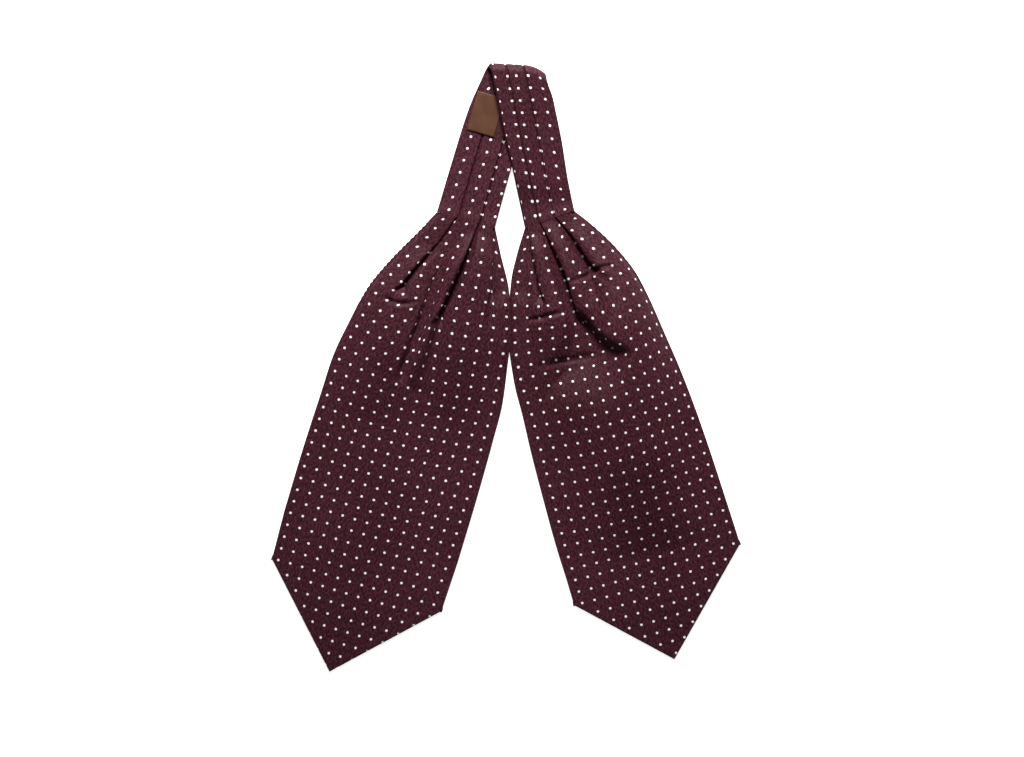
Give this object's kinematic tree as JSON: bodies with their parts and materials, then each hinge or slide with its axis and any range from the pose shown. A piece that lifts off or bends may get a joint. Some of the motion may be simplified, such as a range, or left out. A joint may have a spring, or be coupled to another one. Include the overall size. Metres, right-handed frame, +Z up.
{
  "type": "silk cravat",
  "caption": "Pointed-end silk cravat with a pleated neckband, dotted twill, folded in half at the back of the neck and laid flat with its two blades fanned apart.",
  "frame": {"origin": "under the middle of the whole outline, on the surface that the cravat lies on", "axes": "+Z up from the surface it lies on, +Y along the cravat from the blades' points to the fold at the back of the neck, +X to the right blade"},
  "size_m": [0.4446, 0.5759, 0.0248],
  "materials": {
    "silk_face": "aubergine silk twill with small white woven dots",
    "silk_back": "the same silk twill on the under side",
    "label_satin": "brown satin, plain"
  },
  "bodies": {
    "root": {"left_blade_face": "silk_face", "left_blade_back": "silk_back", "right_blade_face": "silk_face", "right_blade_back": "silk_back", "neckband": "silk_face", "label": "label_satin"}
  },
  "joints": []
}
